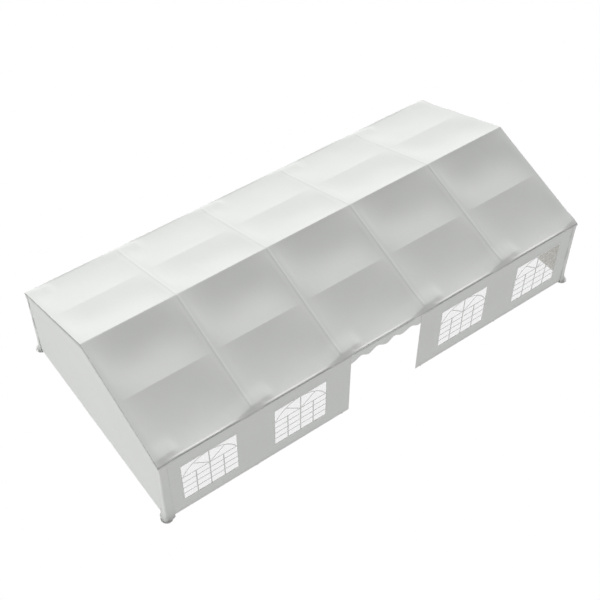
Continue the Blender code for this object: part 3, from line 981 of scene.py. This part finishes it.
def coated_sheet(name, colour, weave_size, gloss=0.25, painted_verge_shade=False):
    """White coated fabric: faint cloudy patches, a fine woven relief and soft creases. A roof sheet also
    gets a darker band painted along both verges: painted shade standing for the groove under the rolled
    edge."""
    finish, tree, shader = new_finish(name)
    clouds = pattern(tree, "ShaderNodeTexNoise", {"Scale": 0.9, "Detail": 3.0, "Roughness": 0.55})
    tint = mixed(tree, clouds["Fac"], tone(colour, 0.975), tone(colour, 1.02))
    if painted_verge_shade:
        # Painted shade: the verges are darkened to 0.74 of the sheet's colour to stand for the shade in
        # the groove under the rolled edge
        tint = mixed(tree, verge_shade_mask(tree), tint, tone(colour, 0.74))
    threads = {"Vector": node(tree, "ShaderNodeUVMap", uv_map="cloth")["UV"], "Scale": weave_size}
    weave = [node(tree, "ShaderNodeTexWave", threads, wave_type="BANDS",
                  bands_direction=direction)["Fac"] for direction in "XY"]
    cross = node(tree, "ShaderNodeMath", dict(enumerate(weave)), operation="MAXIMUM")["Value"]
    creases = pattern(tree, "ShaderNodeTexNoise", {"Scale": 7.0, "Detail": 4.0})["Fac"]
    fine = relief(tree, cross, 0.25, 0.0002)
    set_sockets(tree, shader, {
        "Base Color": tint, "Roughness": 0.8 - gloss, "Specular IOR Level": gloss,
        "Normal": relief(tree, creases, 0.4, 0.004, Normal=fine)})
    return finish


def clear_film(name, colour, haze):
    """Clear plastic film with a slightly uneven gloss."""
    finish, tree, shader = new_finish(name)
    smears = pattern(tree, "ShaderNodeTexNoise", {"Scale": 3.0, "Detail": 5.0})["Fac"]
    set_sockets(tree, shader, {
        "Base Color": tone(colour), "Alpha": haze, "IOR": 1.5,
        "Roughness": between(tree, smears, 0.12, 0.3)})
    return finish


def galvanised(name, colour):
    """Zinc-coated steel tube: crystal patches that differ a little in tone and gloss."""
    finish, tree, shader = new_finish(name)
    crystals = pattern(tree, "ShaderNodeTexVoronoi", {"Scale": 140.0})["Color"]
    set_sockets(tree, shader, {
        "Base Color": mixed(tree, crystals, tone(colour, 0.86), tone(colour, 1.12)),
        "Metallic": 0.9, "Roughness": between(tree, crystals, 0.30, 0.48)})
    return finish


def moulded_foot(name, colour):
    """Pale moulded cover with a fine matt grain."""
    finish, tree, shader = new_finish(name)
    grain = pattern(tree, "ShaderNodeTexNoise", {"Scale": 300.0, "Detail": 2.0})["Fac"]
    set_sockets(tree, shader, {
        "Base Color": tone(colour), "Roughness": 0.6,
        "Normal": relief(tree, grain, 0.08, 0.0004)})
    return finish


def finish_for(kind):
    """The named finish, made from the scene's settings on first use."""
    found = bpy.data.materials.get(kind)
    if found:
        return found
    colours = bpy.context.scene.marquee_finish
    recipes = {
        # The last value turns on the painted shade along the verges of the roof sheet
        "coated_roof_sheet": (coated_sheet, colours.sheet_colour, 110.0, 0.05, True),
        "coated_wall_sheet": (coated_sheet, colours.wall_colour, 130.0),
        # Painted shade: the lining finish is a darker, warmer copy of the sheet for the shade inside the
        # tent
        "sheet_lining": (coated_sheet, colours.lining_shade_colour, 110.0),
        "clear_window_film": (clear_film, colours.film_colour, colours.film_haze),
        "galvanised_tube": (galvanised, colours.steel_colour),
        "moulded_foot": (moulded_foot, colours.foot_colour),
    }
    make, *values = recipes[kind]
    return make(kind, *values)


# Operators

class MARQUEE_OT_roof(bpy.types.Operator):
    """Build the roof cover with both valances"""
    bl_idname = "marquee.roof"
    bl_label = "Roof cover"

    def execute(self, context):
        make_cover(context.scene.marquee_cover)
        return {"FINISHED"}


class MARQUEE_OT_walls(bpy.types.Operator):
    """Build the long-side walls with their windows"""
    bl_idname = "marquee.walls"
    bl_label = "Walls and windows"

    def execute(self, context):
        cover, window = context.scene.marquee_cover, context.scene.marquee_window
        panels = (("front_left", BAY_CENTRES[:2], -1), ("front_right", BAY_CENTRES[3:], -1),
                  ("back", BAY_CENTRES, 1))
        for name, centres, side in panels:
            pieces = make_windows(f"window_film_{name}", centres, side, window)
            make_wall(f"wall_{name}", centres, side, cover)
        return {"FINISHED"}


class MARQUEE_OT_gables(bpy.types.Operator):
    """Build the two gable panels"""
    bl_idname = "marquee.gables"
    bl_label = "Gables"

    def execute(self, context):
        for name, end in (("left", -1), ("right", 1)):
            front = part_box(f"sleeve_front_{name}")[1].y
            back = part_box(f"sleeve_back_{name}")[0].y
            make_gable(f"gable_{name}", front, back, end)
        return {"FINISHED"}


class MARQUEE_OT_sleeves(bpy.types.Operator):
    """Build the fabric sleeves round the corner posts"""
    bl_idname = "marquee.sleeves"
    bl_label = "Corner sleeves"

    def execute(self, context):
        cover = context.scene.marquee_cover
        for side_name, side in (("front", -1), ("back", 1)):
            for end_name, end in (("left", -1), ("right", 1)):
                name = f"{side_name}_{end_name}"
                make_sleeve(f"sleeve_{name}", end, side, GAPES[name], cover)
        return {"FINISHED"}


class MARQUEE_OT_steelwork(bpy.types.Operator):
    """Finish the steel frame and cover the corner base plates"""
    bl_idname = "marquee.steelwork"
    bl_label = "Frame and feet"

    def execute(self, context):
        steel = finish_for("galvanised_tube")
        for name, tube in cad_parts.items():
            if name.startswith(("post_", "rafter_", "eave_beam_", "purlin_", "ridge_beam")):
                for tube_slot in tube.material_slots:
                    tube_slot.material = steel
        make_feet()
        return {"FINISHED"}


class MARQUEE_OT_stage(bpy.types.Operator):
    """Set up the white floor, soft light and camera"""
    bl_idname = "marquee.stage"
    bl_label = "Stage"

    def execute(self, context):
        stage = context.scene.marquee_stage
        make_floor(stage)
        make_world(stage)
        make_lights(stage)
        make_camera()
        context.scene.view_settings.view_transform = "Standard"
        return {"FINISHED"}


# Stage

def make_floor(stage):
    """A wide white floor that shines evenly, as an overexposed studio sweep does."""
    finish, tree, shader = new_finish("white_floor")
    seen = node(tree, "ShaderNodeLightPath")["Is Camera Ray"]
    set_sockets(tree, shader, {
        "Base Color": (0, 0, 0, 1), "Roughness": 1.0, "Specular IOR Level": 0.0,
        "Emission Color": (1, 1, 1, 1), "Emission Strength": between(tree, seen, stage.floor, 1.0)})
    corners = FLOOR_REACH * np.array([(-1, -1, 0), (1, -1, 0), (1, 1, 0), (-1, 1, 0)])
    floor = place("floor", make_mesh("floor", corners, np.array([[0, 1, 2, 3]])))
    floor.data.materials.append(finish)


def make_world(stage):
    """Pale light from above that looks white to the eye."""
    world = bpy.data.worlds.new("studio")
    bpy.context.scene.world = world
    world.use_nodes = True
    tree = world.node_tree
    sky = tree.nodes["Background"]
    set_sockets(tree, sky, {"Color": (1, 1, 1, 1), "Strength": stage.sky})
    white = node(tree, "ShaderNodeBackground", {"Color": (1, 1, 1, 1), "Strength": 1.0})
    either = node(tree, "ShaderNodeMixShader", {
        "Fac": node(tree, "ShaderNodeLightPath")["Is Camera Ray"],
        1: sky.outputs["Background"], 2: white["Background"]})
    set_sockets(tree, tree.nodes["World Output"], {"Surface": either["Shader"]})


def add_light(name, kind, towards):
    """A light whose beam comes from the given direction."""
    lamp = place(name, bpy.data.lights.new(name, kind))
    lamp.rotation_euler = Vector(towards).to_track_quat("Z", "Y").to_euler()
    lamp.visible_camera = False
    return lamp


def make_lights(stage):
    """A soft key light from behind on the right, a weak one on the long side and a low wide
    fill from the left."""
    for name, towards, strength in (("key_light", TO_SUN, stage.sun),
                                    ("front_light", TO_FRONT, stage.front)):
        light = add_light(name, "SUN", towards)
        light.data.energy = strength
        light.data.angle = SUN_SPREAD
    fill = add_light("side_fill", "AREA", (-1, 0, 0))
    fill.data.shape = "RECTANGLE"
    fill.data.size, fill.data.size_y = FILL_SIZE
    fill.data.energy = stage.fill
    fill.location = FILL_AT


def make_camera():
    camera = place("camera", bpy.data.cameras.new("camera"))
    camera.location = CAMERA_AT
    camera.rotation_euler = (pi / 2 - CAMERA_DIP, 0, -CAMERA_YAW)
    camera.data.lens = CAMERA_LENS
    camera.data.sensor_width = 36.0
    camera.data.clip_end = 2000.0
    bpy.context.scene.camera = camera


# Add-on

SETTINGS = {
    "marquee_cover": CoverSettings,
    "marquee_window": WindowSettings,
    "marquee_finish": FinishSettings,
    "marquee_stage": StageSettings,
}
OPERATORS = (MARQUEE_OT_roof, MARQUEE_OT_walls, MARQUEE_OT_gables, MARQUEE_OT_sleeves,
             MARQUEE_OT_steelwork, MARQUEE_OT_stage)


class MARQUEE_PT_panel(bpy.types.Panel):
    """Sizes, colours and steps of the marquee"""
    bl_idname = "MARQUEE_PT_panel"
    bl_label = "Marquee tent"
    bl_space_type = "VIEW_3D"
    bl_region_type = "UI"
    bl_category = "Marquee"

    def draw(self, context):
        for name, settings in SETTINGS.items():
            box = self.layout.box()
            for field in settings.__annotations__:
                box.prop(getattr(context.scene, name), field)
        for step in OPERATORS:
            self.layout.operator(step.bl_idname)


CLASSES = (*SETTINGS.values(), *OPERATORS, MARQUEE_PT_panel)


def register():
    for kind in CLASSES:
        bpy.utils.register_class(kind)
    for name, settings in SETTINGS.items():
        setattr(bpy.types.Scene, name, PointerProperty(type=settings))


def unregister():
    for name in SETTINGS:
        delattr(bpy.types.Scene, name)
    for kind in reversed(CLASSES):
        bpy.utils.unregister_class(kind)


def main():
    register()
    bpy.ops.marquee.roof()
    bpy.ops.marquee.walls()
    bpy.ops.marquee.gables()
    bpy.ops.marquee.sleeves()
    bpy.ops.marquee.steelwork()
    bpy.ops.marquee.stage()


if __name__ == "__main__":
    main()
